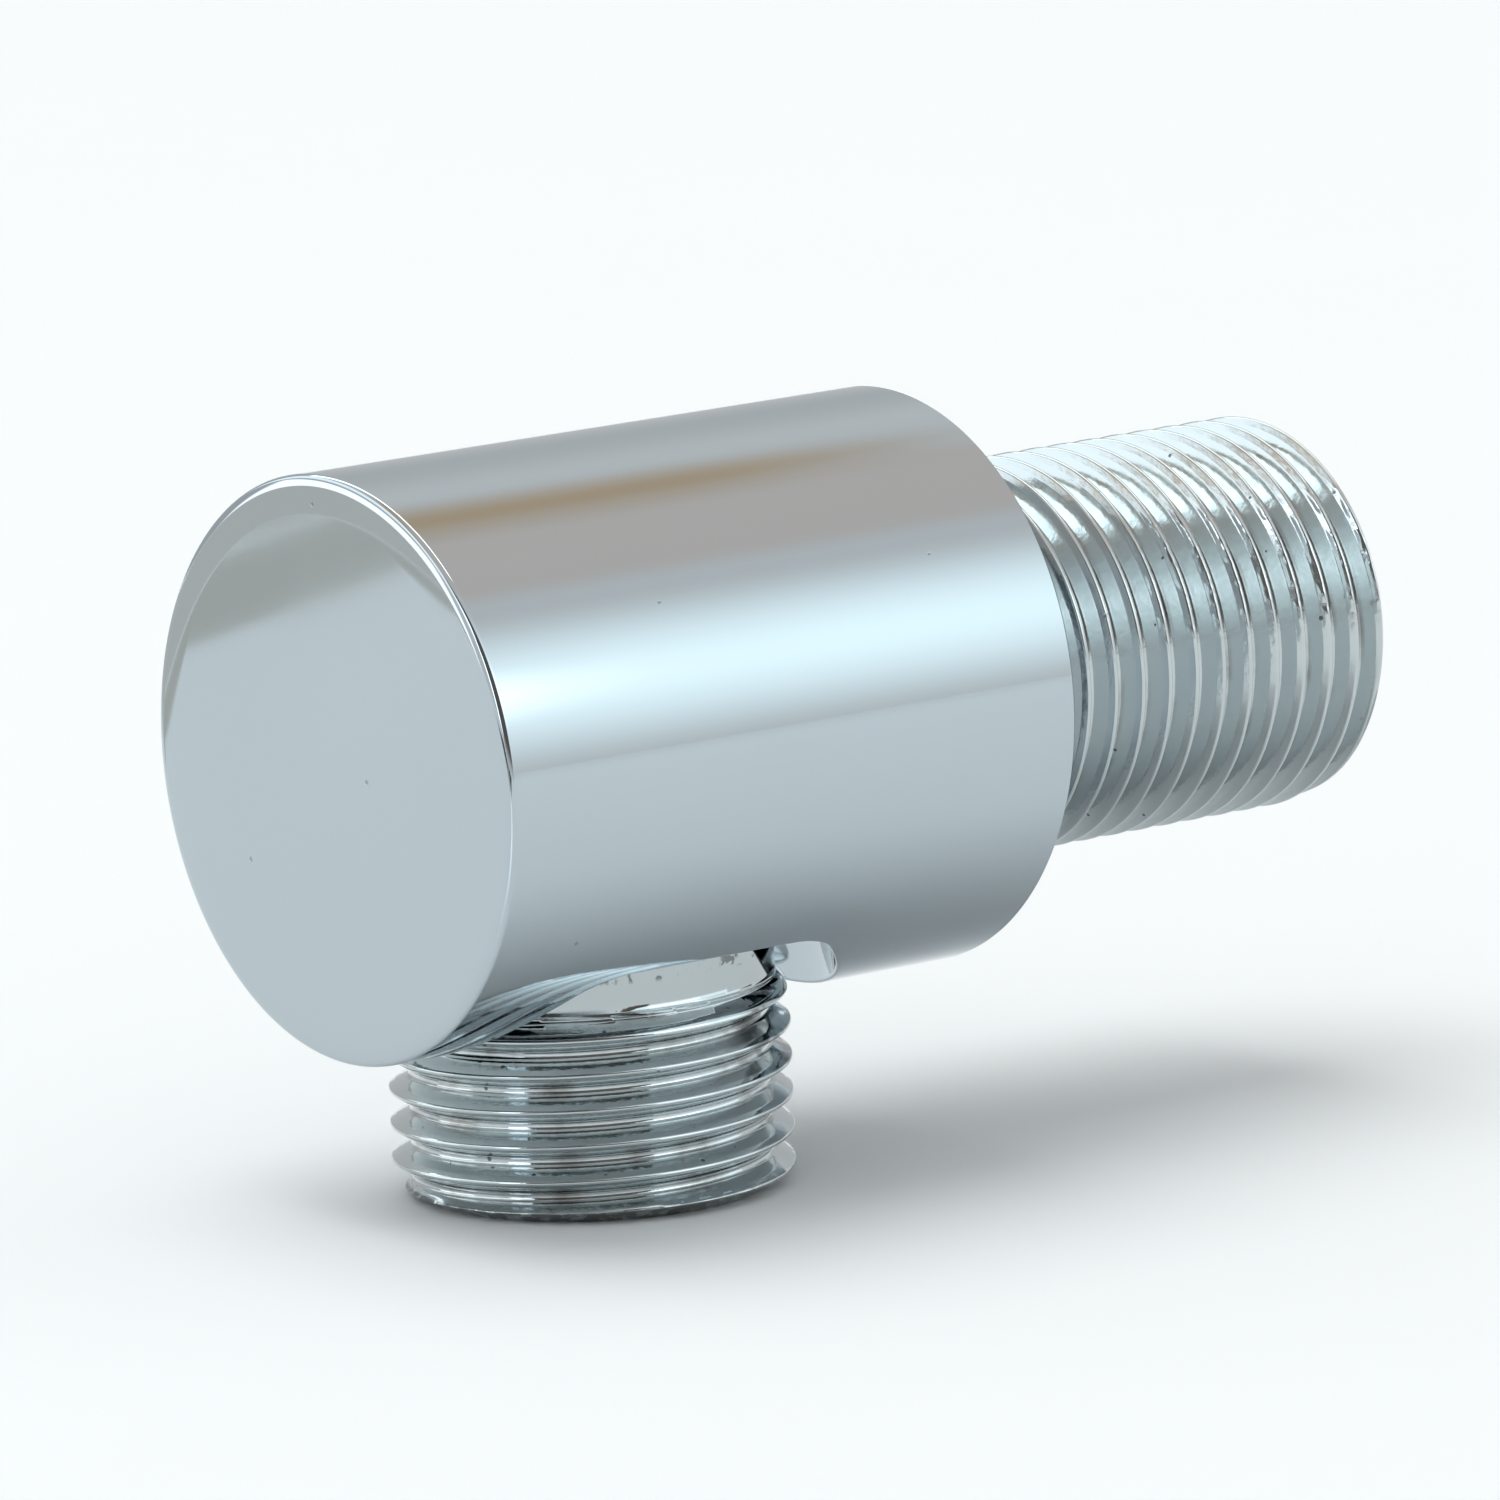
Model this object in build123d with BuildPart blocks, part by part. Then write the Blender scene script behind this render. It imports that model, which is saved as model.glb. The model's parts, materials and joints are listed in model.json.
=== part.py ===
"""Wall outlet elbow: a round bar with a threaded stub into the wall and a threaded outlet below.

The wall is on the +Y side. The origin is on the bar's axis, in the plane of its rear face,
which seats on the wall. Millimetres, +Z up.
"""

import os
from math import radians, sqrt, tan

from build123d import *

# Bar, round and plain, lying along Y
bar_radius = 15.0
bar_length = 36.1
front_edge_radius = 0.4
rear_edge_chamfer = 0.3

# Pipe thread G 1/2, the same on both stubs: its turns are rings of the thread's own section
crest_radius = 10.335
thread_pitch = 25.4 / 14
thread_depth = 1.162
flank_angle = 27.5
first_land = 1.05

# Wall stub: the thread runs out in a relief groove, which opens into a recess for a seal
wall_stub_length = 24.8
inlet_wall = 2.1
relief_width = 2.05
relief_undercut = 0.15
seal_recess_width = 1.2
seal_recess_depth = 1.0
wall_chamfer = 0.35

# Outlet stub, on a vertical axis, in a round pocket milled into the bar's underside
front_wall = 2.77
nut_clearance = 2.35
roof_side_inset = 1.875
pocket_corner_radius = 0.8
pocket_edge_radius = 0.2
outlet_reach = 8.6
outlet_wall = 3.15
neck_step = 0.735
neck_length = 2.2
lead_angle = 45.0
outlet_chamfer_width = 1.3
outlet_chamfer_height = 0.75

# Waterways, drilled from the two ends
drill_half_angle = 59.0
drill_overrun = 0.25
mouth_chamfer = 0.4

# What follows from the sizes above
root_radius = crest_radius - thread_depth
relief_radius = root_radius - relief_undercut
seal_recess_radius = crest_radius + seal_recess_width
neck_radius = crest_radius - neck_step
inlet_bore_radius = root_radius - inlet_wall
outlet_bore_radius = root_radius - outlet_wall
pocket_radius = crest_radius + nut_clearance
outlet_y = front_wall + pocket_radius - bar_length
pocket_roof_z = -sqrt(bar_radius**2 - (pocket_radius - roof_side_inset) ** 2)
outlet_end_z = -bar_radius - outlet_reach
neck_end_z = pocket_roof_z - neck_length
crest_start_z = neck_end_z - neck_step / tan(radians(lead_angle))
inlet_bore_end_y = outlet_y - outlet_bore_radius - drill_overrun
drill_point_y = inlet_bore_end_y - inlet_bore_radius / tan(radians(drill_half_angle))

# One groove of the thread, from its middle on the crest line, and where the grooves lie
groove_half_mouth = thread_depth * tan(radians(flank_angle))
groove_corners = [(0, groove_half_mouth), (-thread_depth, 0), (0, -groove_half_mouth)]
wall_groove_y = relief_width + first_land + groove_half_mouth
wall_turns = 1 + int((wall_stub_length - groove_half_mouth - wall_groove_y) / thread_pitch)
wall_grooves = [(crest_radius, wall_groove_y + n * thread_pitch) for n in range(wall_turns)]
outlet_groove_z = crest_start_z - first_land - groove_half_mouth
outlet_turns = 1 + int((outlet_groove_z - groove_half_mouth - outlet_end_z) / thread_pitch)
outlet_grooves = [(crest_radius, outlet_groove_z - n * thread_pitch) for n in range(outlet_turns)]

# The outlet's axis, and the upright plane through it that holds the profiles turned about it
outlet_axis = Axis((0, outlet_y, 0), (0, 0, 1))
outlet_profile_plane = Plane.XZ.offset(-outlet_y)

# What the milling takes out for the pocket: room for a hose nut, a flat roof and a rounded corner
with BuildPart() as pocket:
    with BuildSketch(Plane((0, outlet_y, pocket_roof_z))) as pocket_section:
        Circle(pocket_radius)
    extrude(amount=-bar_radius)
    fillet(pocket.edges().filter_by(GeomType.CIRCLE).sort_by(Axis.Z).last, pocket_corner_radius)

with BuildPart() as outlet_elbow:
    # Bar: its front edge rounded, and its rear edge broken by a small chamfer
    with BuildSketch(Plane.XZ) as bar_section:
        Circle(bar_radius)
    extrude(amount=bar_length)
    rims = outlet_elbow.edges().filter_by(GeomType.CIRCLE).sort_by(Axis.Y)
    fillet(rims.first, front_edge_radius)
    chamfer(rims.last, rear_edge_chamfer)

    # Pocket in the underside: the edges it cuts in the bar's round side are softened by polishing
    add(pocket.part, mode=Mode.SUBTRACT)
    fillet(outlet_elbow.edges(Select.LAST).filter_by(GeomType.CIRCLE, reverse=True), pocket_edge_radius)

    # Recess for a seal in the rear face
    with BuildSketch(Plane.XZ) as seal_recess_section:
        Circle(seal_recess_radius)
    extrude(amount=seal_recess_depth, mode=Mode.SUBTRACT)

    # Wall stub: relief groove, thread and end chamfer
    with BuildSketch(Plane.XY) as wall_stub_profile:
        with BuildLine():
            Polyline(
                (0, -seal_recess_depth - relief_width),
                (relief_radius, -seal_recess_depth - relief_width),
                (relief_radius, relief_width),
                (crest_radius, relief_width),
                (crest_radius, wall_stub_length - wall_chamfer),
                (crest_radius - wall_chamfer, wall_stub_length),
                (0, wall_stub_length),
                close=True,
            )
        make_face()
        with Locations(*wall_grooves):
            Polygon(*groove_corners, align=None, mode=Mode.SUBTRACT)
    revolve(axis=Axis.Y)

    # Outlet stub: neck, lead-in cone, thread and end chamfer
    with BuildSketch(outlet_profile_plane) as outlet_stub_profile:
        with BuildLine():
            Polyline(
                (0, 0),
                (neck_radius, 0),
                (neck_radius, neck_end_z),
                (crest_radius, crest_start_z),
                (crest_radius, outlet_end_z + outlet_chamfer_height),
                (crest_radius - outlet_chamfer_width, outlet_end_z),
                (0, outlet_end_z),
                close=True,
            )
        make_face()
        with Locations(*outlet_grooves):
            Polygon(*groove_corners, align=None, mode=Mode.SUBTRACT)
    revolve(axis=outlet_axis)

    # Inlet waterway: from the wall end to a drill point just past the outlet
    with BuildSketch(Plane.XY) as inlet_profile:
        with BuildLine():
            Polyline(
                (0, wall_stub_length),
                (inlet_bore_radius + mouth_chamfer, wall_stub_length),
                (inlet_bore_radius, wall_stub_length - mouth_chamfer),
                (inlet_bore_radius, inlet_bore_end_y),
                (0, drill_point_y),
                close=True,
            )
        make_face()
    revolve(axis=Axis.Y, mode=Mode.SUBTRACT)

    # Outlet waterway: from the outlet end up into the inlet's
    with BuildSketch(outlet_profile_plane) as outlet_profile:
        with BuildLine():
            Polyline(
                (0, outlet_end_z),
                (outlet_bore_radius + mouth_chamfer, outlet_end_z),
                (outlet_bore_radius, outlet_end_z + mouth_chamfer),
                (outlet_bore_radius, 0),
                (0, 0),
                close=True,
            )
        make_face()
    revolve(axis=outlet_axis, mode=Mode.SUBTRACT)

outlet_elbow.part.label = "outlet_elbow"

os.makedirs("parts", exist_ok=True)
export_step(outlet_elbow.part, "parts/outlet_elbow.step")
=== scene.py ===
"""The wall outlet elbow dressed for a picture: polished chrome, both threads cut, in a soft studio.

Metres, +Z up, in the part's own frame: the bar lies along Y and seats on the wall at y = 0.
The fitting is one closed mesh. Most of it is turned about the bar's axis or the outlet's axis,
and the bar's round side and the inlet's bore are sheets of triangles with a hole in each.
"""

import json

import bpy
import numpy as np
from mathutils import Matrix, Vector
from mathutils.geometry import delaunay_2d_cdt

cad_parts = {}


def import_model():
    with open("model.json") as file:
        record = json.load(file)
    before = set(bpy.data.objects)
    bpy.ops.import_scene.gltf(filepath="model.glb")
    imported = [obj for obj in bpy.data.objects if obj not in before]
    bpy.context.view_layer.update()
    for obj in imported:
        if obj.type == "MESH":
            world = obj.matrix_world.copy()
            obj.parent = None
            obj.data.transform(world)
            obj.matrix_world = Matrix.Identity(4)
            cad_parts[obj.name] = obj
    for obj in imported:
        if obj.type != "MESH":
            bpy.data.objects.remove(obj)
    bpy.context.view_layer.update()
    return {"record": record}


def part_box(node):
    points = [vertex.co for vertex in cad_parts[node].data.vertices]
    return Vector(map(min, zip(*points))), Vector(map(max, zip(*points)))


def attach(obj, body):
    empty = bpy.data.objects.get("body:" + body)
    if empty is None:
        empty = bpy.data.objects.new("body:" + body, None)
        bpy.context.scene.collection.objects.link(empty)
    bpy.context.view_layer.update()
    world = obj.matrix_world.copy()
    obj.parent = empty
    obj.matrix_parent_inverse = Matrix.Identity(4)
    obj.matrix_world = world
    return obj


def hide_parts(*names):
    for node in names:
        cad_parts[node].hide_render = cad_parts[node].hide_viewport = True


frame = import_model()

MM = 0.001

# Sizes that the frame gives
lowest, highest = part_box("outlet_elbow")
mounts = {mount["name"]: mount for mount in frame["record"]["mounts"]}
BAR_RADIUS = (highest[0] - lowest[0]) / 2
FRONT_Y = lowest[1]
WALL_END_Y = highest[1]
OUTLET_END_Z = lowest[2]
OUTLET_Y = mounts["outlet_thread"]["pos_m"][1]
CREST_RADIUS = mounts["wall_thread"]["dims"]["r_mm"] * MM
INLET_BORE_RADIUS = mounts["inlet_bore"]["dims"]["r_mm"] * MM
OUTLET_BORE_RADIUS = mounts["outlet_bore"]["dims"]["r_mm"] * MM

# Bar: polishing has let the front face fall away towards its edge, which is still crisp
FRONT_FLAT_RADIUS = 13.0 * MM
FRONT_FALL = 0.075 * MM
FRONT_TURN_RADIUS = 14.4 * MM
FRONT_TURN = 0.055 * MM
FRONT_EDGE = 0.2 * MM
REAR_CHAMFER = 0.3 * MM

# Pipe thread G 1/2, right hand: a round crest, an eased shoulder, a straight flank and a round root
PITCH = 25.4 / 14 * MM
THREAD_DEPTH = 0.6403 * PITCH
CREST_ROUND = 0.15 * MM
SHOULDER_TURN = np.radians(57.5)
SHOULDER_RUN = 0.17 * MM
FLANK_TURN = np.radians(63.5)

# What follows from them: where one form of the thread passes into the next, and the root's rounding
ROOT_RADIUS = CREST_RADIUS - THREAD_DEPTH
CREST_END = CREST_ROUND * np.sin(SHOULDER_TURN)
SHOULDER_END = CREST_END + SHOULDER_RUN
SHOULDER_RADIUS = CREST_RADIUS - CREST_ROUND * (1 - np.cos(SHOULDER_TURN))
FLANK_RADIUS = SHOULDER_RADIUS - SHOULDER_RUN * np.tan(SHOULDER_TURN)
FLANK_ROOM = (PITCH / 2 - SHOULDER_END) * np.tan(FLANK_TURN) - (FLANK_RADIUS - ROOT_RADIUS)
ROOT_ROUND = FLANK_ROOM / (np.sin(FLANK_TURN) * np.tan(FLANK_TURN) - 1 + np.cos(FLANK_TURN))
ROOT_START = PITCH / 2 - ROOT_ROUND * np.sin(FLANK_TURN)

# Wall stub. A crest's place is on the +X side, where the angle is 0
WALL_CREST_Y = 4.61 * MM
RECESS_RADIUS = CREST_RADIUS + 1.2 * MM
RECESS_DEPTH = 1.0 * MM
RELIEF_RADIUS = ROOT_RADIUS - 0.15 * MM
RELIEF_END_Y = 2.05 * MM
RELIEF_SLOPE = 1.7
WALL_CHAMFER = 0.35 * MM
WALL_SOFTNESS = 0.06 * MM

# Pocket in the bar's underside
POCKET_RADIUS = CREST_RADIUS + 2.35 * MM
ROOF_HALF_WIDTH = POCKET_RADIUS - 1.875 * MM
ROOF_Z = -np.sqrt(BAR_RADIUS**2 - ROOF_HALF_WIDTH**2)
POCKET_CORNER = 0.8 * MM
POCKET_EDGE = 0.2 * MM

# Outlet stub: a plain neck, a flat cone that leads in to the thread, and an end chamfer.
# The thread's grooves run out just under the neck
OUTLET_CREST_Z = -15.66 * MM
NECK_RADIUS = CREST_RADIUS - 0.735 * MM
NECK_END_Z = ROOF_Z - 2.2 * MM
NECK_SOFTNESS = 0.18 * MM
LEAD_SLOPE = 0.55
RUN_OUT_LENGTH = 0.6 * MM
RUN_OUT_SLOPE = 1.2
OUTLET_CHAMFER_WIDTH = 1.3 * MM
OUTLET_CHAMFER_HEIGHT = 0.75 * MM
OUTLET_SOFTNESS = 0.08 * MM

# Waterways
MOUTH = 0.4 * MM
DRILL_OVERRUN = 0.25 * MM
DRILL_TURN = np.radians(59)
INLET_END_Y = OUTLET_Y - OUTLET_BORE_RADIUS - DRILL_OVERRUN
DRILL_POINT_Y = INLET_END_Y - INLET_BORE_RADIUS / np.tan(DRILL_TURN)

# Fineness of the mesh
COLUMNS = 192
ARC_ROWS = 6
FRONT_ROWS = 19
ROOF_ROWS = 4
POCKET_WALL_ROWS = 8
POCKET_WALL_STEP = 0.6 * MM
ROW_STEP = 1.5 * MM
HOLE_MARGIN = 0.35 * MM
SHOULDER_ROWS = np.array([-0.02, 0.02]) * MM
SPARE_TURNS = 3
RIM_HALVINGS = 60
RIM_LIMIT = POCKET_RADIUS + 6 * MM
SLOPE_STEP = 1e-7
WELD = 1e-8

ANGLES = np.linspace(-np.pi / 2, 3 * np.pi / 2, COLUMNS + 1)

# Colours of the plate, of the painted shade at the thread roots and on the outlet's end chamfer, of what
# dirt and wear leave on it, and of the metal under it
PLATE = (0.479, 0.541, 0.578, 1)
PLATE_PALE = (0.486, 0.549, 0.586, 1)
THREAD_PLATE = (0.53, 0.58, 0.595, 1)
THREAD_PLATE_PALE = (0.55, 0.60, 0.61, 1)
NECK_PLATE = (0.45, 0.495, 0.51, 1)
# Painted shade at the thread roots
ROOT_SHADE = (0.16, 0.135, 0.12, 1)
# Stain marks, and painted shade on the outlet's end chamfer
STAIN_AND_SHADE = (0.07, 0.075, 0.08, 1)
PIT = (0.08, 0.08, 0.08, 1)
BRASS = (0.72, 0.58, 0.36, 1)

# Camera: the side that it looks from and its place along its own right, up and back. The lens and
# its sensor are in millimetres
CAMERA_AZIMUTH = np.radians(52.358)
CAMERA_ELEVATION = np.radians(10.489)
CAMERA_ROLL = np.radians(-2.163)
CAMERA_RIGHT = -7.454 * MM
CAMERA_UP = -3.986 * MM
CAMERA_BACK = 647.41 * MM
LENS = 300.3
SENSOR = 36

# Stage
FLOOR_REACH = 6.0
FLOOR_Z = OUTLET_END_Z - 0.01 * MM
SHEET_Z = OUTLET_END_Z + 0.02 * MM
CARD_FOOT_Z = OUTLET_END_Z + 0.1 * MM
FLOOR_PAINT = (0.925, 0.93, 0.93, 1)
FLOOR_PAINT_PALE = (0.935, 0.94, 0.94, 1)
ROOM_GREY = (0.79, 0.788, 0.784, 1)
DAYLIGHT = (0.957, 0.99, 1.0)


class Axis:
    """An axis to turn about. Angles run by the right-hand rule about its direction."""

    def __init__(self, centre, right, up, along):
        self.centre = np.array(centre, float)
        self.right = np.array(right, float)
        self.up = np.array(up, float)
        self.along = np.array(along, float)

    def points(self, angle, radius, height):
        return self.centre + self.directions(angle, radius, 0 * radius, height)

    def directions(self, angle, radial, tangential, along):
        angle, radial, tangential, along = np.broadcast_arrays(angle, radial, tangential, along)
        cos, sin = np.cos(angle)[..., None], np.sin(angle)[..., None]
        outward = cos * self.right + sin * self.up
        round_about = cos * self.up - sin * self.right
        across = radial[..., None] * outward + tangential[..., None] * round_about
        return across + along[..., None] * self.along


BAR_AXIS = Axis((0, 0, 0), (1, 0, 0), (0, 0, -1), (0, 1, 0))
OUTLET_AXIS = Axis((0, OUTLET_Y, 0), (1, 0, 0), (0, 1, 0), (0, 0, 1))


class Shell:
    """Gathers one closed surface patch by patch, then welds the patches where their edges meet."""

    def __init__(self):
        self.points, self.normals, self.faces = [], [], []
        self.size = 0

    def sheet(self, points, normals, faces):
        """Adds triangles, turned so that they face where their normals point."""
        corners = points[faces]
        facing = np.cross(corners[:, 1] - corners[:, 0], corners[:, 2] - corners[:, 0])
        if (facing * normals[faces].sum(axis=1)).sum() < 0:
            faces = faces[:, ::-1]
        self.points.append(points)
        self.normals.append(normals)
        self.faces.append(faces + self.size)
        self.size += len(points)

    def grid(self, points, normals):
        """Adds rows and columns of points as pairs of triangles."""
        rows, columns = points.shape[:2]
        index = np.arange(rows * columns).reshape(rows, columns)
        a, b, c, d = index[:-1, :-1], index[1:, :-1], index[1:, 1:], index[:-1, 1:]
        halves = [np.stack(half, axis=-1).reshape(-1, 3) for half in ((a, b, c), (a, c, d))]
        self.sheet(points.reshape(-1, 3), normals.reshape(-1, 3), np.concatenate(halves))

    def build(self, name):
        """Makes the piece. Triangles that the welding has closed up are left out."""
        points, normals, faces = [np.concatenate(part) for part in (self.points, self.normals, self.faces)]
        cells = np.round(points / WELD).astype(np.int64)
        _, first, welded = np.unique(cells, axis=0, return_index=True, return_inverse=True)
        corners = welded.reshape(-1)[faces]
        whole = (corners != np.roll(corners, 1, axis=1)).all(axis=1)
        mesh = bpy.data.meshes.new(name)
        mesh.from_pydata(points[first].tolist(), [], corners[whole].tolist())
        mesh.shade_smooth()
        mesh.normals_split_custom_set(normals[faces[whole]].reshape(-1, 3).tolist())
        piece = bpy.data.objects.new(name, mesh)
        bpy.context.collection.objects.link(piece)
        return piece


def unit(vectors):
    return vectors / np.linalg.norm(vectors, axis=-1, keepdims=True)


def turn(shell, axis, path):
    """Turns a path of (radius, height) points, each run a flat or conical band with its own normals."""
    for (radius_a, height_a), (radius_b, height_b) in zip(path, path[1:]):
        radius = np.stack([radius_a + 0 * ANGLES, radius_b + 0 * ANGLES])
        height = np.stack([height_a + 0 * ANGLES, height_b + 0 * ANGLES])
        run = np.array([np.mean(height[1] - height[0]), np.mean(radius[0] - radius[1])])
        radial, along = run / np.linalg.norm(run)
        normals = axis.directions(ANGLES, radial + 0 * radius, 0 * radius, along + 0 * radius)
        shell.grid(axis.points(ANGLES, radius, height), normals)


def turn_smooth(shell, axis, radius, height, radial, along):
    """Turns a rounded path, with the normals given."""
    path = (radius, height, radial, along)
    radius, height, radial, along = [np.asarray(values)[:, None] + 0 * ANGLES for values in path]
    normals = unit(axis.directions(ANGLES, radial, 0 * radial, along))
    shell.grid(axis.points(ANGLES, radius, height), normals)


def soft_min(a, b, width):
    """The lower of two values, rounded where they cross."""
    overlap = np.maximum(width - np.abs(a - b), 0) / width
    return np.minimum(a, b) - overlap**2 * width / 4


def slope(curve, place, step):
    """How steeply a curve rises at a place."""
    return (curve(place + step) - curve(place - step)) / (2 * step)


def thread_radius(phase):
    """The thread's radius at a height past a crest: crest, shoulder, flank or root."""
    across = np.abs((phase + PITCH / 2) % PITCH - PITCH / 2)
    crest = CREST_RADIUS - CREST_ROUND + np.sqrt(np.maximum(CREST_ROUND**2 - across**2, 0))
    shoulder = SHOULDER_RADIUS - (across - CREST_END) * np.tan(SHOULDER_TURN)
    flank = FLANK_RADIUS - (across - SHOULDER_END) * np.tan(FLANK_TURN)
    from_root = PITCH / 2 - across
    root = ROOT_RADIUS + ROOT_ROUND - np.sqrt(np.maximum(ROOT_ROUND**2 - from_root**2, 0))
    reached = [across < CREST_END, across < SHOULDER_END, across < ROOT_START]
    return np.select(reached, [crest, shoulder, flank], root)


def thread_rows():
    """Heights over one pitch, closer together round the crest, at the shoulders' ends and at the root."""
    spread = np.linspace(-1, 1, ARC_ROWS + 1)
    crest = CREST_ROUND * np.sin(spread * SHOULDER_TURN)
    root = ROOT_ROUND * np.sin(spread * FLANK_TURN) + PITCH / 2
    shoulder = SHOULDER_END + SHOULDER_ROWS
    return np.concatenate([crest, shoulder, root, PITCH - shoulder[::-1]])


def turn_thread(shell, axis, crest_height, start, end, radius_at):
    """Turns a threaded length. Its rows follow the helix and stop at the two ends."""
    advance = PITCH * ANGLES / (2 * np.pi)
    first = int(np.floor((start - crest_height) / PITCH)) - SPARE_TURNS
    last = int(np.ceil((end - crest_height) / PITCH)) + SPARE_TURNS
    rows = np.concatenate([crest_height + turns * PITCH + thread_rows() for turns in range(first, last)])
    height = np.clip(rows[:, None] + advance, start, end)
    angle = ANGLES + 0 * height
    radius = radius_at(angle, height)
    slope_along = slope(lambda place: radius_at(angle, place), height, SLOPE_STEP)
    slope_round = slope(lambda place: radius_at(place, height), angle, SLOPE_STEP / CREST_RADIUS)
    normals = unit(axis.directions(angle, 1 + 0 * radius, -slope_round / radius, -slope_along))
    shell.grid(axis.points(angle, radius, height), normals)


def wall_stub_radius(angle, height):
    """Radius of the wall stub, from its relief groove to its end chamfer."""
    thread = thread_radius(height - WALL_CREST_Y - PITCH * angle / (2 * np.pi))
    lead_in = RELIEF_RADIUS + np.maximum(height - RELIEF_END_Y, 0) * RELIEF_SLOPE
    chamfer = CREST_RADIUS - WALL_CHAMFER + (WALL_END_Y - height)
    return soft_min(soft_min(thread, lead_in, WALL_SOFTNESS), chamfer, WALL_SOFTNESS)


def outlet_stub_radius(angle, height):
    """Radius of the outlet stub, from its end chamfer up to its neck, where the thread runs out."""
    thread = thread_radius(height - OUTLET_CREST_Z - PITCH * angle / (2 * np.pi))
    run_out = np.maximum(height - NECK_END_Z + RUN_OUT_LENGTH, 0) * RUN_OUT_SLOPE
    neck = NECK_RADIUS + np.maximum(NECK_END_Z - height, 0) * LEAD_SLOPE
    chamfer_slope = OUTLET_CHAMFER_WIDTH / OUTLET_CHAMFER_HEIGHT
    chamfer = CREST_RADIUS - OUTLET_CHAMFER_WIDTH + (height - OUTLET_END_Z) * chamfer_slope
    return soft_min(soft_min(thread + run_out, neck, NECK_SOFTNESS), chamfer, OUTLET_SOFTNESS)


def perforated(shell, radius, start, end, hole, row_step, inward):
    """A cylinder about the bar's axis with one hole, given as (angle, y) points in a loop."""
    loop = hole * [radius, 1]
    angle, height = sheet_points(radius, start, end, hole, loop, row_step)
    faces = sheet_triangles(np.stack([angle * radius, height], axis=1), loop)
    points = BAR_AXIS.points(angle, radius + 0 * angle, height)
    side = -1.0 if inward else 1.0
    normals = BAR_AXIS.directions(angle, side + 0 * angle, 0 * angle, 0 * angle)
    shell.sheet(points, normals, faces)


def sheet_points(radius, start, end, hole, loop, row_step):
    """Rows of points clear of the hole, and after them the hole's own, as their angles and heights."""
    rows = np.linspace(start, end, int(round((end - start) / row_step)) + 1)
    angle, height = [grid.reshape(-1) for grid in np.meshgrid(ANGLES, rows)]
    edge = (np.abs(height - start) < WELD) | (np.abs(height - end) < WELD)
    edge |= (angle == ANGLES[0]) | (angle == ANGLES[-1])
    flat = np.stack([angle * radius, height], axis=1)
    kept = edge | (~inside(flat, loop) & (distance_to(flat, loop) > HOLE_MARGIN))
    return np.concatenate([angle[kept], hole[:, 0]]), np.concatenate([height[kept], hole[:, 1]])


def sheet_triangles(flat, loop):
    """Triangles over the unrolled sheet, whose last points are the loop round its hole."""
    ring = len(flat) - len(loop) + np.arange(len(loop))
    links = np.stack([ring, np.roll(ring, -1)], axis=1).tolist()
    vertices = [Vector(point) for point in (flat / MM).tolist()]
    whole_sheet, slack = 0, 1e-6
    _, _, faces, origins, _, _ = delaunay_2d_cdt(vertices, links, [], whole_sheet, slack)
    origin = np.array([sources[0] for sources in origins])
    faces = origin[np.array(faces)]
    return faces[~inside(flat[faces].mean(axis=1), loop)]


def inside(points, loop):
    """Which points lie inside a closed loop."""
    ahead = np.roll(loop, -1, axis=0)
    x, y = points[:, :1], points[:, 1:]
    spans = (loop[:, 1] > y) != (ahead[:, 1] > y)
    rise = ahead[:, 1] - loop[:, 1]
    rise = np.where(rise == 0, 1, rise)
    crossing = loop[:, 0] + (y - loop[:, 1]) * (ahead[:, 0] - loop[:, 0]) / rise
    return (spans & (x < crossing)).sum(axis=1) % 2 == 1


def distance_to(points, loop):
    """How far each point is from the nearest corner of a loop."""
    return np.linalg.norm(points[:, None] - loop[None], axis=2).min(axis=1)


def turn_front(shell):
    """The front face, flat in the middle and rolling off to a small rounded edge. Returns where it ends."""
    corner = BAR_RADIUS - FRONT_EDGE
    inner = FRONT_FLAT_RADIUS * np.array([0, 0.35, 0.7])
    radius = np.concatenate([inner, np.linspace(FRONT_FLAT_RADIUS, corner, FRONT_ROWS)])
    height, rise = FRONT_Y + 0 * radius, 0 * radius
    for start, drop in ((FRONT_FLAT_RADIUS, FRONT_FALL), (FRONT_TURN_RADIUS, FRONT_TURN)):
        share = np.maximum(radius - start, 0) / (corner - start)
        height += drop * share**2
        rise += 2 * drop * share / (corner - start)
    turn_smooth(shell, BAR_AXIS, radius, height, rise, -1 + 0 * rise)
    tilt = np.arctan(rise[-1])
    arc = np.linspace(tilt, np.pi / 2, ARC_ROWS + 1)
    size = FRONT_EDGE / (1 - np.sin(tilt))
    arc_radius = BAR_RADIUS - size * (1 - np.sin(arc))
    arc_height = height[-1] + size * (np.cos(tilt) - np.cos(arc))
    turn_smooth(shell, BAR_AXIS, arc_radius, arc_height, np.sin(arc), -np.cos(arc))
    return arc_height[-1]


def pocket_path(along):
    """The pocket's profile at a length from the outlet's axis: roof, rounded corner, wall going down.
    Gives radius, height and the normal's two parts."""
    roof_end = POCKET_RADIUS - POCKET_CORNER
    turned = np.clip((along - roof_end) / POCKET_CORNER, 0, np.pi / 2)
    down = np.maximum(along - roof_end - POCKET_CORNER * np.pi / 2, 0)
    radius = np.minimum(along, roof_end) + POCKET_CORNER * np.sin(turned)
    height = ROOF_Z - POCKET_CORNER * (1 - np.cos(turned)) - down
    return radius, height, -np.sin(turned), -np.cos(turned)


def pocket_rim():
    """Where the pocket's profile comes out of the bar, for each angle, as a length along the profile."""
    near = np.full(COLUMNS + 1, NECK_RADIUS)
    far = np.full(COLUMNS + 1, RIM_LIMIT)
    for _ in range(RIM_HALVINGS):
        middle = (near + far) / 2
        radius, height, _, _ = pocket_path(middle)
        buried = (radius * np.cos(ANGLES)) ** 2 + height**2 < BAR_RADIUS**2
        near, far = np.where(buried, middle, near), np.where(buried, far, middle)
    return near


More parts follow.
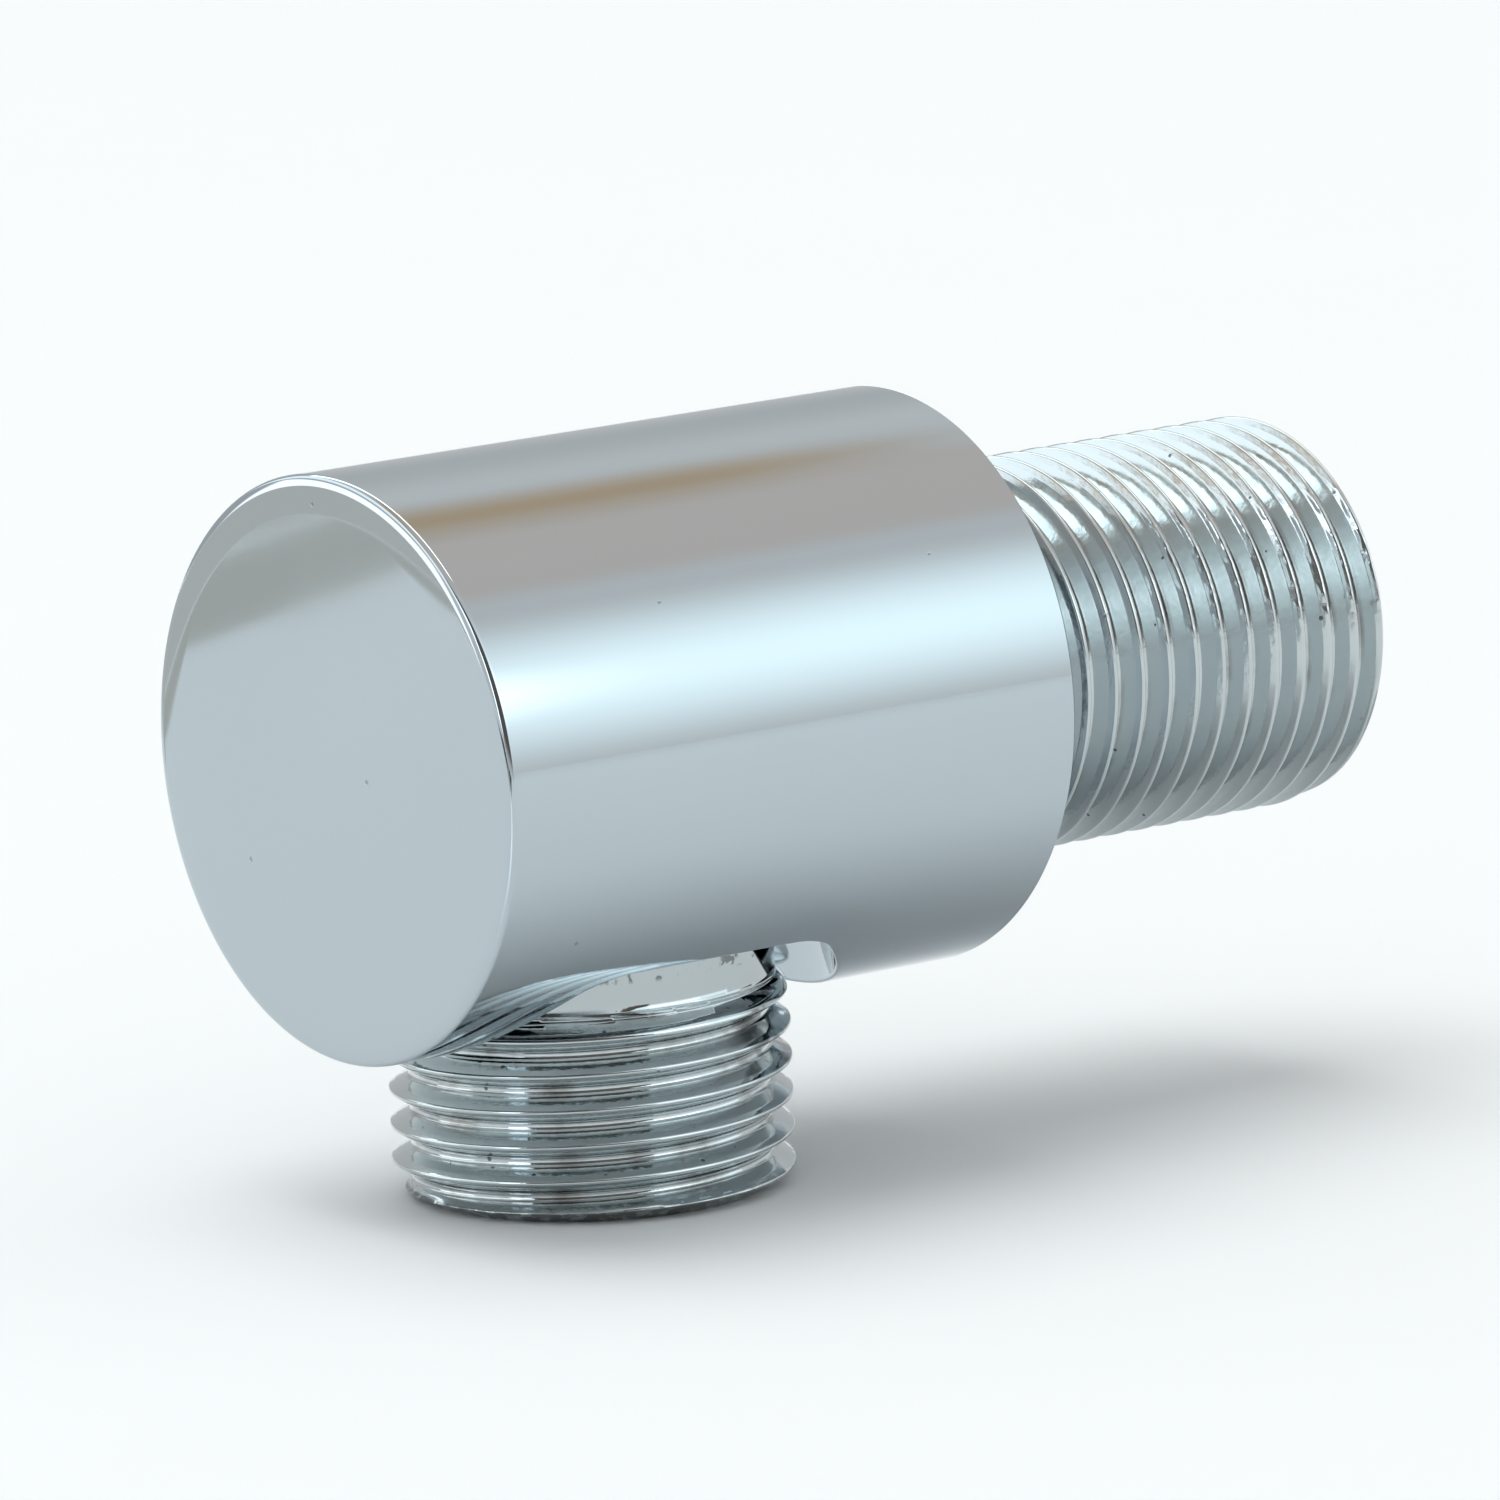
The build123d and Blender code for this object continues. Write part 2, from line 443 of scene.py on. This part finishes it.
def mill_pocket(shell):
    """The pocket with its rim softened. Returns the rim on the bar's side, as (angle, y) points."""
    rim = pocket_rim()
    radius, height, radial, along = pocket_path(rim)

    # In each plane through the outlet's axis the bar's side is an ellipse. At the rim one line runs
    # back along the pocket, and one out along the ellipse
    squeeze = np.cos(ANGLES) ** 2
    back = np.stack([along, -radial])
    out = unit(np.stack([-height, radius * squeeze], axis=1)).T
    half_angle = np.arccos(np.clip((back * out).sum(axis=0), -1, 1)) / 2
    reach = POCKET_EDGE / np.tan(half_angle)
    turn_pocket(shell, rim - reach)
    end_radius = radius + out[0] * reach
    end = np.stack([end_radius, -np.sqrt(BAR_RADIUS**2 - end_radius**2 * squeeze)])
    edge = soften_rim(shell, rim - reach, np.stack([radius, height]), end)
    return np.stack([np.arctan2(-edge[:-1, 2], edge[:-1, 0]), edge[:-1, 1]], axis=1)


def turn_pocket(shell, limit):
    """The pocket's roof, corner and wall, each column as far as its limit along the profile."""
    roof = np.linspace(NECK_RADIUS, POCKET_RADIUS - POCKET_CORNER, ROOF_ROWS)
    corner = roof[-1] + POCKET_CORNER * np.linspace(0, np.pi / 2, ARC_ROWS + 1)[1:]
    wall = corner[-1] + np.arange(1, POCKET_WALL_ROWS + 1) * POCKET_WALL_STEP
    rows = np.concatenate([roof, corner, wall])[:, None]
    radius, height, radial, along = pocket_path(np.minimum(rows, limit))
    normals = OUTLET_AXIS.directions(ANGLES, radial, 0 * radial, along)
    shell.grid(OUTLET_AXIS.points(ANGLES, radius, height), normals)


def soften_rim(shell, limit, corner, end):
    """Bends the pocket's edge over to the bar's side, column by column. Returns its outer points."""
    radius, height, radial, along = pocket_path(limit)
    start = np.stack([radius, height])
    share = np.linspace(0, 1, ARC_ROWS)[:, None, None]
    bend = (1 - share) ** 2 * start + 2 * share * (1 - share) * corner + share**2 * end
    points = OUTLET_AXIS.points(ANGLES, bend[:, 0], bend[:, 1])
    inner = OUTLET_AXIS.directions(ANGLES, radial, 0 * ANGLES, along)
    outer = unit(points[-1] * [1, 0, 1])
    shell.grid(points, unit((1 - share) * inner + share * outer))
    return points[-1]


def turn_bar(shell):
    """The bar's front face, the pocket and the round side."""
    side_start = turn_front(shell)
    rim = mill_pocket(shell)
    perforated(shell, BAR_RADIUS, side_start, -REAR_CHAMFER, rim, ROW_STEP, inward=False)


def turn_wall_stub(shell):
    """The bar's rear face with its seal recess, then the relief groove, the thread and the stub's end."""
    rear = [
        (BAR_RADIUS, -REAR_CHAMFER),
        (BAR_RADIUS - REAR_CHAMFER, 0),
        (RECESS_RADIUS, 0),
        (RECESS_RADIUS, -RECESS_DEPTH),
        (RELIEF_RADIUS, -RECESS_DEPTH),
        (wall_stub_radius(ANGLES, RELIEF_END_Y + 0 * ANGLES), RELIEF_END_Y),
    ]
    end = [
        (wall_stub_radius(ANGLES, WALL_END_Y + 0 * ANGLES), WALL_END_Y),
        (INLET_BORE_RADIUS + MOUTH, WALL_END_Y),
        (INLET_BORE_RADIUS, WALL_END_Y - MOUTH),
    ]
    turn(shell, BAR_AXIS, rear)
    turn_thread(shell, BAR_AXIS, WALL_CREST_Y, RELIEF_END_Y, WALL_END_Y, wall_stub_radius)
    turn(shell, BAR_AXIS, end)


def drill_inlet(shell, meeting_z):
    """The inlet's drill point, and its bore with the hole where the outlet's bore comes in."""
    turn(shell, BAR_AXIS, [(INLET_BORE_RADIUS, INLET_END_Y), (0, DRILL_POINT_Y)])
    meeting = OUTLET_AXIS.points(ANGLES, OUTLET_BORE_RADIUS + 0 * ANGLES, meeting_z)[:-1]
    hole = np.stack([np.arctan2(-meeting[:, 2], meeting[:, 0]), meeting[:, 1]], axis=1)
    perforated(shell, INLET_BORE_RADIUS, INLET_END_Y, WALL_END_Y - MOUTH, hole, 2 * ROW_STEP, inward=True)


def turn_outlet_stub(shell, meeting_z):
    """The outlet's bore, its end ring and its thread."""
    bore_and_end = [
        (OUTLET_BORE_RADIUS, meeting_z),
        (OUTLET_BORE_RADIUS, OUTLET_END_Z + MOUTH),
        (OUTLET_BORE_RADIUS + MOUTH, OUTLET_END_Z),
        (outlet_stub_radius(ANGLES, OUTLET_END_Z + 0 * ANGLES), OUTLET_END_Z),
    ]
    turn(shell, OUTLET_AXIS, bore_and_end)
    turn_thread(shell, OUTLET_AXIS, OUTLET_CREST_Z, OUTLET_END_Z, ROOF_Z, outlet_stub_radius)


def elbow():
    """The whole fitting as one closed mesh."""
    shell = Shell()
    turn_bar(shell)
    turn_wall_stub(shell)

    # Where the outlet's bore comes out in the inlet's
    meeting_z = -np.sqrt(INLET_BORE_RADIUS**2 - (OUTLET_BORE_RADIUS * np.cos(ANGLES)) ** 2)
    drill_inlet(shell, meeting_z)
    turn_outlet_stub(shell, meeting_z)
    return shell.build("chromed_elbow")


class Tree:
    """A material's nodes, with short ways to lay them. A value is a number or another node's output."""

    def __init__(self, name):
        self.material = bpy.data.materials.new(name)
        self.material.use_nodes = True
        self.nodes, self.links = self.material.node_tree.nodes, self.material.node_tree.links
        self.shader = self.nodes["Principled BSDF"]
        self.coordinates = self.node("TexCoord").outputs
        self.place = self.coordinates["Object"]

    def node(self, kind, inputs=(), **settings):
        made = self.nodes.new("ShaderNode" + kind)
        for setting, value in settings.items():
            setattr(made, setting, value)
        for socket, value in dict(inputs).items():
            self.give(made.inputs[socket], value)
        return made

    def give(self, socket, value):
        if isinstance(value, bpy.types.NodeSocket):
            self.links.new(value, socket)
        else:
            socket.default_value = value

    def math(self, operation, a, b):
        return self.node("Math", {0: a, 1: b}, operation=operation).outputs[0]

    def all_of(self, first, *others):
        """Where every mask holds. A plain number makes a mask fainter."""
        for other in others:
            first = self.math("MULTIPLY", first, other)
        return first

    def any_of(self, first, second):
        """Where at least one of two masks holds."""
        return self.math("MAXIMUM", first, second)

    def step(self, value, start, end, low=0.0, high=1.0):
        """A smooth change from low at the start to high at the end."""
        ends = {"Value": value, "From Min": start, "From Max": end, "To Min": low, "To Max": high}
        return self.node("MapRange", ends, interpolation_type="SMOOTHSTEP").outputs[0]

    def noise(self, scale, detail=2.0):
        return self.node("TexNoise", {"Vector": self.place, "Scale": scale, "Detail": detail}).outputs["Fac"]

    def from_axis(self, centre, across):
        """How far a point is from an axis: the centre is on it, and the mask keeps what lies across it."""
        moved = self.node("VectorMath", {0: self.place, 1: centre}, operation="SUBTRACT").outputs[0]
        flat = self.node("VectorMath", {0: moved, 1: across}, operation="MULTIPLY").outputs[0]
        return self.node("VectorMath", {0: flat}, operation="LENGTH").outputs["Value"]

    def specks(self, scale, radius, share):
        """Small round spots of many sizes, strewn at random in a share of the cells."""
        cells = self.node("TexVoronoi", {"Vector": self.place, "Scale": scale})
        pick = self.node("SeparateColor", {0: cells.outputs["Color"]}).outputs[0]
        size = self.math("MULTIPLY", self.step(pick, 1 - share, 1), radius)
        within = self.math("SUBTRACT", size, cells.outputs["Distance"])
        return self.step(within, 0, 0.2 * radius)

    def blend(self, share, first, second):
        mixed = self.node("Mix", data_type="RGBA")
        self.give(mixed.inputs[0], share)
        self.give(mixed.inputs[6], first)
        self.give(mixed.inputs[7], second)
        return mixed.outputs[2]

    def bump(self, height, distance, under=None, **settings):
        """Raises the surface by a height map, over the bumps that are given as the ones under it."""
        made = self.node("Bump", {"Height": height, "Distance": distance}, **settings)
        if under is not None:
            self.give(made.inputs["Normal"], under)
        return made.outputs[0]


class Zones:
    """Where the parts of the fitting lie, as masks that are 1 on a part and 0 away from it."""

    def __init__(self, tree):
        parts = tree.node("SeparateXYZ", {0: tree.place}).outputs
        self.y, self.z = parts["Y"], parts["Z"]
        from_bar = tree.from_axis((0, 0, 0), (1, 0, 1))
        from_outlet = tree.from_axis((0, OUTLET_Y, 0), (1, 1, 0))
        self.from_nearer_axis = tree.math("MINIMUM", from_bar, from_outlet)
        by_outlet = tree.step(from_outlet, CREST_RADIUS + 0.6 * MM, CREST_RADIUS + 0.2 * MM)
        under_neck = tree.step(self.z, NECK_END_Z + 0.2 * MM, NECK_END_Z - 0.4 * MM)
        under_roof = tree.step(self.z, ROOF_Z + 0.05 * MM, ROOF_Z)
        self.wall_stub = tree.step(self.y, 0.1 * MM, 0.4 * MM)
        self.outlet_thread = tree.all_of(under_neck, by_outlet)
        self.outlet_stub = tree.all_of(under_roof, by_outlet)
        self.threads = tree.any_of(self.wall_stub, self.outlet_thread)
        self.neck = tree.all_of(self.outlet_stub, tree.math("SUBTRACT", 1.0, self.outlet_thread))
        in_inlet = tree.step(from_bar, INLET_BORE_RADIUS + 0.04 * MM, INLET_BORE_RADIUS)
        behind_front = tree.step(self.y, FRONT_Y + 2 * MM, FRONT_Y + 3 * MM)
        in_outlet = tree.step(from_outlet, OUTLET_BORE_RADIUS + 0.04 * MM, OUTLET_BORE_RADIUS)
        below_middle = tree.step(self.z, 0, -1 * MM)
        self.bores = tree.any_of(tree.all_of(in_inlet, behind_front), tree.all_of(in_outlet, below_middle))


def chrome():
    """Polished chrome plate, duller on the threads, with painted shade at the thread roots and on the
    outlet's end chamfer, stain marks, nicks and small pits.
    """
    tree = Tree("chrome_plate")
    zones = Zones(tree)
    pitted = pits(tree, zones)
    tree.give(tree.shader.inputs["Base Color"], chrome_colour(tree, zones, pitted))
    tree.shader.inputs["Metallic"].default_value = 1.0
    tree.give(tree.shader.inputs["Roughness"], chrome_roughness(tree, zones))
    tree.give(tree.shader.inputs["Normal"], chrome_relief(tree, zones, pitted))
    return tree.material


def chrome_colour(tree, zones, pitted):
    """Two close tones of plate, then painted shade and the stain marks and pits that lie on them, and bare
    brass in the bores.
    """
    haze = tree.step(tree.noise(scale=45, detail=3), 0.3, 0.7)
    plate = tree.blend(haze, PLATE, PLATE_PALE)
    thread_plate = tree.blend(haze, THREAD_PLATE, THREAD_PLATE_PALE)
    colour = tree.blend(zones.threads, plate, thread_plate)
    colour = tree.blend(zones.neck, colour, NECK_PLATE)
    # Painted shade at the thread roots, in patches
    colour = tree.blend(tree.all_of(root_shade(tree, zones), 0.7), colour, ROOT_SHADE)
    # Stain marks, and painted shade on the outlet's end chamfer
    colour = tree.blend(tree.all_of(stains_and_shade(tree, zones), 0.7), colour, STAIN_AND_SHADE)
    colour = tree.blend(tree.all_of(pitted, 0.85), colour, PIT)
    return tree.blend(zones.bores, colour, BRASS)


def root_shade(tree, zones):
    """Painted shade in patches at the roots of both threads, but not on the wall stub's end face."""
    at_root = tree.step(zones.from_nearer_axis, ROOT_RADIUS + 0.35 * MM, ROOT_RADIUS)
    short_of_end = tree.step(zones.y, WALL_END_Y - 0.1 * MM, WALL_END_Y - 0.3 * MM)
    patches = tree.step(tree.noise(scale=300, detail=4), 0.46, 0.7)
    return tree.all_of(at_root, short_of_end, zones.threads, patches)


def stains_and_shade(tree, zones):
    """Dark patches at the rear of the outlet's first turns, painted shade on its end chamfer for the
    shadowed floor that it mirrors, and stain marks at the neck's top.
    """
    at_rear = tree.step(zones.y, OUTLET_Y + 1.5 * MM, OUTLET_Y + 4 * MM)
    first_turns = tree.step(zones.z, -18.5 * MM, -17 * MM)
    dark_patches = tree.step(tree.noise(scale=330, detail=3), 0.5, 0.6)
    # Painted shade: the end chamfer is darkened in patches, for the shadowed floor that it mirrors
    shaded_end_band = tree.step(zones.z, OUTLET_END_Z + 0.7 * MM, OUTLET_END_Z + 0.55 * MM)
    shade_patches = tree.step(tree.noise(scale=1500), 0.42, 0.5)
    turns_and_end = tree.any_of(tree.all_of(dark_patches, first_turns, at_rear), tree.all_of(shaded_end_band, shade_patches))
    neck_top = tree.step(zones.z, ROOF_Z - 1.1 * MM, ROOF_Z - 0.8 * MM)
    marks = tree.step(tree.noise(scale=1500, detail=3), 0.57, 0.63)
    on_neck = tree.all_of(marks, zones.outlet_stub, neck_top)
    return tree.any_of(tree.all_of(turns_and_end, zones.outlet_thread), on_neck)


def pits(tree, zones):
    """Small pits, faint and sparse on the whole fitting, and closer together on the threads."""
    everywhere = tree.all_of(tree.specks(scale=300, radius=0.05, share=0.9), 0.45)
    on_threads = tree.all_of(tree.specks(scale=700, radius=0.1, share=0.55), zones.threads)
    return tree.any_of(everywhere, on_threads)


def chrome_roughness(tree, zones):
    """Mirror bright, with a satin touch on the threads, most of it on the wall stub, and matt bores."""
    polished = tree.step(tree.noise(scale=90, detail=3), 0.3, 0.7, 0.045, 0.065)
    satin = tree.step(tree.noise(scale=700), 0.3, 0.7, 0.04, 0.12)
    satin_zone = tree.any_of(zones.wall_stub, tree.all_of(zones.outlet_thread, 0.2))
    extra = tree.math("ADD", tree.all_of(satin, satin_zone), tree.all_of(zones.bores, 0.3))
    return tree.math("ADD", polished, extra)


def chrome_relief(tree, zones, pitted):
    """Slow waves in the polish, fine nicks on the threads, battered crests and sunken pits."""
    waves = tree.bump(tree.noise(scale=75, detail=1), 0.006 * MM)
    nicks = tree.all_of(tree.noise(scale=1900, detail=3), zones.threads)
    nicked = tree.bump(nicks, 0.012 * MM, waves)
    battered = tree.bump(crest_dents(tree, zones), 0.04 * MM, nicked)
    return tree.bump(pitted, 0.03 * MM, battered, invert=True)


def crest_dents(tree, zones):
    """Dents along the crests, on the wall stub's upper side and on the outlet's last turn."""
    at_crest = tree.step(zones.from_nearer_axis, CREST_RADIUS - 0.3 * MM, CREST_RADIUS - 0.12 * MM)
    over_middle = tree.step(zones.z, 0, 2 * MM)
    under_top = tree.step(zones.z, 8 * MM, 6.5 * MM)
    far_turns = tree.all_of(tree.step(zones.y, 7 * MM, 12 * MM), over_middle, under_top)
    last_turn = tree.step(zones.z, OUTLET_END_Z + 1.6 * MM, OUTLET_END_Z + 1.0 * MM)
    dents = tree.step(tree.noise(scale=900, detail=1), 0.35, 0.65)
    return tree.all_of(dents, tree.any_of(far_turns, last_turn), at_crest)


def camera():
    """A long lens from the front right, as the photograph was taken."""
    cos, sin = np.cos(CAMERA_AZIMUTH), np.sin(CAMERA_AZIMUTH)
    across = np.cos(CAMERA_ELEVATION)
    back = Vector((sin * across, -cos * across, np.sin(CAMERA_ELEVATION)))
    level = Vector((cos, sin, 0))
    upright = back.cross(level)
    right = np.cos(CAMERA_ROLL) * level + np.sin(CAMERA_ROLL) * upright
    up = np.cos(CAMERA_ROLL) * upright - np.sin(CAMERA_ROLL) * level
    place = CAMERA_RIGHT * right + CAMERA_UP * up + CAMERA_BACK * back
    data = bpy.data.cameras.new("camera")
    data.lens = LENS
    data.sensor_width = SENSOR
    data.clip_start, data.clip_end = 0.05, 20
    holder = bpy.data.objects.new("camera", data)
    turned = Matrix((right, up, back)).transposed().to_4x4()
    holder.matrix_world = Matrix.Translation(place) @ turned
    bpy.context.collection.objects.link(holder)
    bpy.context.scene.camera = holder


def flat_piece(name, corners):
    """A flat piece with four corners, given in a loop."""
    mesh = bpy.data.meshes.new(name)
    mesh.from_pydata([tuple(corner) for corner in corners], [], [(0, 1, 2, 3)])
    made = bpy.data.objects.new(name, mesh)
    bpy.context.collection.objects.link(made)
    return made


def floor():
    """A pale matt table top."""
    sides = ((-1, -1), (1, -1), (1, 1), (-1, 1))
    piece = flat_piece("floor", [(x * FLOOR_REACH, y * FLOOR_REACH, FLOOR_Z) for x, y in sides])
    tree = Tree("floor_paint")
    paint = tree.blend(tree.noise(scale=30, detail=3), FLOOR_PAINT, FLOOR_PAINT_PALE)
    tree.give(tree.shader.inputs["Base Color"], paint)
    tree.shader.inputs["Roughness"].default_value = 0.9
    piece.data.materials.append(tree.material)


def glow(name, tone, soft):
    """Plain light that fades out towards the edges of its card, softly across it and along it."""
    tree = Tree(name)
    tree.nodes.remove(tree.shader)
    parts = tree.node("SeparateXYZ", {0: tree.coordinates["UV"]}).outputs
    fades = []
    for part, softness in zip((parts["X"], parts["Y"]), soft):
        fades.append(tree.all_of(tree.step(part, 0, softness), tree.step(part, 1, 1 - softness)))
    clear = tree.node("BsdfTransparent").outputs[0]
    light = tree.node("Emission", {"Color": (*tone, 1)}).outputs[0]
    both = tree.node("MixShader", {0: tree.all_of(*fades), 1: clear, 2: light}).outputs[0]
    tree.give(tree.nodes["Material Output"].inputs["Surface"], both)
    return tree.material


def card(name, tone, corners, soft):
    """A toned card that shows in the chrome only: it lights and shades nothing else."""
    piece = flat_piece(name, corners)
    layer = piece.data.uv_layers.new(name="card")
    for corner, uv in zip(layer.data, ((0, 0), (1, 0), (1, 1), (0, 1))):
        corner.uv = uv
    piece.data.materials.append(glow(name, tone, soft))
    piece.visible_camera = False
    piece.visible_diffuse = False
    piece.visible_shadow = False


def long_card(name, tone, angle, half_angle, ends, soft, distance=0.9):
    """A card along the bar's direction, at an angle over the horizon on the right."""
    angle = np.radians(angle)
    half_width = distance * np.tan(np.radians(half_angle))
    middle = distance * np.array([np.cos(angle), 0, np.sin(angle)])
    half = half_width * np.array([-np.sin(angle), 0, np.cos(angle)])
    start, end = [np.array([0, y, 0]) for y in ends]
    corners = [middle - half + start, middle + half + start, middle + half + end, middle - half + end]
    card(name, tone, corners, soft)


def floor_card(name, tone, start, heading, size, soft):
    """A sheet lying on the floor, to the right of its heading. Its size is its length and width."""
    heading = np.array([*heading, 0]) / np.hypot(*heading)
    side = np.array([heading[1], -heading[0], 0])
    ahead, across = heading * size[0], side * size[1]
    start = np.array([*start, SHEET_Z])
    corners = [start, start + across, start + across + ahead, start + ahead]
    card(name, tone, corners, soft)


def upright_card(name, tone, azimuths, elevations, distance, soft):
    """A card standing round the fitting, between two directions counted from the front to the right."""
    (left, right), (bottom, top) = azimuths, elevations
    corners = []
    for azimuth, elevation in ((left, bottom), (right, bottom), (right, top), (left, top)):
        turned = np.radians(azimuth)
        height = max(distance * np.tan(np.radians(elevation)), CARD_FOOT_Z)
        corners.append((distance * np.sin(turned), -distance * np.cos(turned), height))
    card(name, tone, corners, soft)


def ceiling_light():
    """A bright strip overhead, slanting across the bar's direction."""
    distance = 0.8
    ends = []
    for angle, share in ((76, 0.48), (148, -0.08)):
        turned = np.radians(angle)
        ends.append(distance * np.array([np.cos(turned), share, np.sin(turned)]))
    half = np.array([0, 0.12, 0])
    corners = [ends[0] - half, ends[1] - half, ends[1] + half, ends[0] + half]
    card("ceiling_light", (3.6, 3.9, 4.0), corners, (0.06, 0.2))


def room_cards():
    """A soft box with a brighter strip on the right, a warm wall with a wooden rail overhead, crossed
    by the ceiling light, and a grey wall on the left."""
    room = (-1.6, 2.4)
    strip = (0, 0.59)
    rail = (-1.2, 0.70)
    long_card("soft_box", (1.55, 1.73, 1.77), 29.5, 34, room, soft=(0.5, 0.1))
    long_card("strip_lamp", (2.3, 2.45, 2.5), 29.5, 15, strip, soft=(0.5, 0.06), distance=0.85)
    long_card("warm_wall", (0.762, 0.678, 0.628), 88, 23, room, soft=(0.22, 0.1))
    long_card("wood_rail", (0.65, 0.485, 0.33), 112, 16, rail, soft=(0.5, 0.035), distance=0.88)
    long_card("left_wall", (0.565, 0.58, 0.588), 175, 45, room, soft=(0.4, 0.1))
    ceiling_light()


def window_cards():
    """Windows at the front and the front left, and the dark room behind the camera."""
    pane = (2.7, 2.95, 3.2)
    upright_card("window", (1.5, 1.62, 1.68), (-82, 3), (10, 32), distance=0.6, soft=(0.1, 0.15))
    upright_card("low_window", (2.0, 2.0, 2.0), (-62, -27), (-5, 12), distance=0.6, soft=(0.1, 0.1))
    upright_card("front_window", pane, (-4, 11), (2.5, 20), distance=0.55, soft=(0.12, 0.04))
    upright_card("top_window", pane, (-6, 11), (21.5, 30), distance=0.55, soft=(0.12, 0.06))
    upright_card("dark_room", (0.15, 0.12, 0.11), (-6, 90), (-5, 40), distance=0.88, soft=(0.03, 0.15))


def floor_cards():
    """A dark sheet at the front right that stands for the fitting's shadow on the floor there, a painted
    shadow that only the chrome mirrors, a strip of window glare, and two grey sheets on the left.
    """
    # Painted shadow: a dark sheet for the fitting's shadow on the floor at the front right, seen only in the
    # chrome
    shadow_start, shadow_heading = (0.03, -0.14), (0.79, -0.61)
    floor_card("floor_shadow", (0.12, 0.115, 0.11), shadow_start, shadow_heading, (0.8, 0.4), soft=(0.15, 0.03))
    glare_start, glare_heading = (0.03, -0.055), (0.07, -1)
    floor_card("window_glare", (1.5, 1.6, 1.7), glare_start, glare_heading, (0.5, 0.035), soft=(0.2, 0.1))
    line, heading = np.array([-0.112, -0.065]), np.array([-0.451, -0.892])
    beyond = line + 0.0166 * np.array([heading[1], -heading[0]])
    floor_card("dark_sheet", (0.637, 0.631, 0.581), line, heading, (1.5, 0.0155), soft=(0.08, 0.02))
    floor_card("grey_sheet", (0.713, 0.704, 0.673), beyond, heading, (1.5, 0.4), soft=(0.0015, 0.02))


def sun(name, towards, spread, strength):
    """Broad, even light from one side, which the chrome doesn't mirror."""
    lamp = bpy.data.lights.new(name, "SUN")
    lamp.angle = np.radians(spread)
    lamp.energy = strength
    lamp.color = DAYLIGHT
    holder = bpy.data.objects.new(name, lamp)
    holder.rotation_euler = Vector(towards).to_track_quat("Z", "Y").to_euler()
    holder.visible_glossy = False
    holder.visible_camera = False
    bpy.context.collection.objects.link(holder)


def studio():
    """Cards that only the chrome mirrors, and two broad suns that light the floor."""
    room_cards()
    window_cards()
    floor_cards()
    sun("window_light", (-0.22, -0.12, 0.9), spread=50, strength=1.32)
    sun("ceiling_light", (0, 0, 1), spread=150, strength=1.93)


def world():
    """A plain grey room, which the chrome mirrors between the cards. It doesn't light the floor."""
    made = bpy.data.worlds.new("room")
    bpy.context.scene.world = made
    made.use_nodes = True
    background = made.node_tree.nodes["Background"]
    background.inputs["Color"].default_value = ROOM_GREY
    background.inputs["Strength"].default_value = 1.0
    made.cycles_visibility.diffuse = False
    bpy.context.scene.view_settings.view_transform = "Standard"


camera()
world()
floor()
studio()

fitting = elbow()
fitting.data.materials.append(chrome())
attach(fitting, "root")
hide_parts("outlet_elbow")
